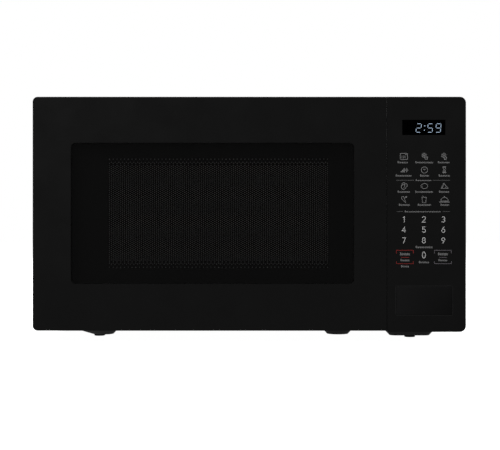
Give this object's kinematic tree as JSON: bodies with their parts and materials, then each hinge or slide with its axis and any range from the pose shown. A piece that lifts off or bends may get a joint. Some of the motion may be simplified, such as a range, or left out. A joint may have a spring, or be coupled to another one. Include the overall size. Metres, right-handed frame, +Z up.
{
  "type": "countertop microwave oven",
  "caption": "Black countertop microwave oven with a left-hinged window door, touch control panel, release button and glass turntable.",
  "frame": {"origin": "on the table under the middle of the oven, level with the soles of the feet", "axes": "+X to the right of someone facing the oven, +Y from its front to its back, +Z up; the door faces -Y"},
  "size_m": [0.451, 0.342, 0.256],
  "materials": {
    "door_plastic": "gloss black",
    "window_pane": "smoked, polished",
    "screen_steel": "black enamel, perforated",
    "choke_plastic": "fine-grain",
    "clear_film": "clear film",
    "nylon": "natural nylon",
    "latch_plastic": "acetal",
    "spring_steel": "drawn wire",
    "zinc_steel": "zinc plated",
    "panel_plastic": "black",
    "overlay_film": "printed satin-gloss film",
    "display_lens": "black lens",
    "display_dark": "digit module",
    "circuit_board": "solder mask",
    "membrane_film": "polyester",
    "button_plastic": "black",
    "bracket_plastic": "moulded",
    "switch_plastic": "moulded",
    "plunger_plastic": "moulded",
    "cavity_enamel": "light grey enamel",
    "aluminised_steel": "bare",
    "mica": "mica sheet",
    "lamp_glass": "frosted",
    "black_plastic": "moulded",
    "coupler_plastic": "moulded",
    "tray_glass": "polished",
    "roller_plastic": "moulded",
    "ferrite_yoke": "zinc plated",
    "copper_anode": "copper",
    "fin_aluminium": "mill",
    "core_steel": "laminated, varnished",
    "winding_copper": "varnished copper",
    "can_aluminium": "drawn can",
    "fan_plastic": "moulded",
    "base_steel": "smooth black paint",
    "rubber": "moulded",
    "casing_paint": "textured black paint"
  },
  "bodies": {
    "oven": {"hinge_upper": "zinc_steel", "hinge_lower": "zinc_steel", "screws": "zinc_steel", "panel_housing": "panel_plastic", "panel_overlay": "overlay_film", "display_lens": "display_lens", "display_module": "display_dark", "control_board": "circuit_board", "keypad_membrane": "membrane_film", "button_springs": "spring_steel", "lever_pin": "zinc_steel", "interlock_bracket": "bracket_plastic", "interlock_switches": "switch_plastic", "front_plate": "cavity_enamel", "cavity_wrapper": "cavity_enamel", "cavity_floor": "cavity_enamel", "cavity_back": "cavity_enamel", "waveguide": "aluminised_steel", "waveguide_cover": "mica", "lamp_holder": "black_plastic", "cavity_lamp": "lamp_glass", "turntable_motor": "zinc_steel", "magnetron_yoke": "ferrite_yoke", "magnetron_anode": "copper_anode", "magnetron_fins": "fin_aluminium", "magnetron_filter_box": "aluminised_steel", "transformer_core": "core_steel", "transformer_windings": "winding_copper", "capacitor": "can_aluminium", "capacitor_strap": "zinc_steel", "filter_board": "circuit_board", "fan_shroud": "fan_plastic", "fan_motor": "core_steel", "base_plate": "base_steel", "rubber_feet": "rubber", "outer_casing": "casing_paint", "rear_panel": "base_steel", "cord_gland": "black_plastic"},
    "door": {"door_frame": "door_plastic", "door_window": "window_pane", "door_screen": "screen_steel", "door_choke_cover": "choke_plastic", "door_film": "clear_film", "hinge_bushes": "nylon", "latch_spring": "spring_steel"},
    "latch": {"latch_hook": "latch_plastic"},
    "button": {"release_button": "button_plastic"},
    "lever": {"release_lever": "latch_plastic"},
    "primary_switch": {"primary_plunger": "plunger_plastic"},
    "monitor_switch": {"monitor_plunger": "plunger_plastic"},
    "secondary_switch": {"secondary_plunger": "plunger_plastic"},
    "drive": {"turntable_coupler": "coupler_plastic", "motor_shaft": "zinc_steel"},
    "tray": {"glass_tray": "tray_glass"},
    "ring": {"roller_ring": "roller_plastic"},
    "wheel_1": {"roller_1": "roller_plastic"},
    "wheel_2": {"roller_2": "roller_plastic"},
    "wheel_3": {"roller_3": "roller_plastic"},
    "fan": {"fan_shaft": "zinc_steel", "fan_blade": "fan_plastic"}
  },
  "joints": [
    {"name": "door_hinge", "type": "hinge", "parent": "oven", "child": "door", "pos_m": [-0.2165, -0.152, 0.1343], "axis": [0, 0, -1], "range_deg": [0, 100]},
    {"name": "latch_slide", "type": "slide", "parent": "door", "child": "latch", "axis": [0, 0, 1], "range_m": [0, 0.0032], "stiffness_N_per_m": 150, "springref_m": -0.004, "deforming": ["latch_spring"]},
    {"name": "button_press", "type": "slide", "parent": "oven", "child": "button", "axis": [0, 1, 0], "range_m": [0, 0.006], "stiffness_N_per_m": 400, "springref_m": -0.004, "deforming": ["button_springs"]},
    {"name": "lever_turn", "type": "hinge", "parent": "oven", "child": "lever", "pos_m": [0.16, -0.133, 0.062], "axis": [1, 0, 0], "range_deg": [0, 19.8]},
    {"name": "primary_plunge", "type": "slide", "parent": "oven", "child": "primary_switch", "axis": [0, 1, 0], "range_m": [0, 0.001], "stiffness_N_per_m": 500, "springref_m": -0.0005},
    {"name": "monitor_plunge", "type": "slide", "parent": "oven", "child": "monitor_switch", "axis": [0, 1, 0], "range_m": [0, 0.001], "stiffness_N_per_m": 500, "springref_m": -0.0005},
    {"name": "secondary_plunge", "type": "slide", "parent": "oven", "child": "secondary_switch", "axis": [0, 1, 0], "range_m": [0, 0.001], "stiffness_N_per_m": 500, "springref_m": -0.0005},
    {"name": "drive_spin", "type": "hinge", "parent": "oven", "child": "drive", "pos_m": [-0.042, 0.005, 0.038], "axis": [0, 0, 1], "continuous": true},
    {"name": "tray_lift", "type": "slide", "parent": "drive", "child": "tray", "axis": [0, 0, 1], "range_m": [0, 0.02]},
    {"name": "ring_spin", "type": "hinge", "parent": "oven", "child": "ring", "pos_m": [-0.042, 0.005, 0.03905], "axis": [0, 0, 1], "continuous": true},
    {"name": "wheel_1_spin", "type": "hinge", "parent": "ring", "child": "wheel_1", "pos_m": [0.05, 0.005, 0.03905], "axis": [1, 0, 0], "continuous": true},
    {"name": "wheel_2_spin", "type": "hinge", "parent": "ring", "child": "wheel_2", "pos_m": [-0.088, 0.08467, 0.03905], "axis": [-0.5, 0.866, 0], "continuous": true},
    {"name": "wheel_3_spin", "type": "hinge", "parent": "ring", "child": "wheel_3", "pos_m": [-0.088, -0.07467, 0.03905], "axis": [-0.5, -0.866, 0], "continuous": true},
    {"name": "fan_spin", "type": "hinge", "parent": "oven", "child": "fan", "pos_m": [0.168, 0.13, 0.16], "axis": [0, 1, 0], "continuous": true}
  ],
  "couplings": [
    {"joint": "latch_slide", "follows": "button_press", "ratio": 0.5333},
    {"joint": "lever_turn", "follows": "button_press", "rad_per_m": 57.5},
    {"joint": "ring_spin", "follows": "drive_spin", "ratio": 0.5},
    {"joint": "wheel_1_spin", "follows": "drive_spin", "ratio": -6.5714},
    {"joint": "wheel_2_spin", "follows": "drive_spin", "ratio": -6.5714},
    {"joint": "wheel_3_spin", "follows": "drive_spin", "ratio": -6.5714}
  ]
}
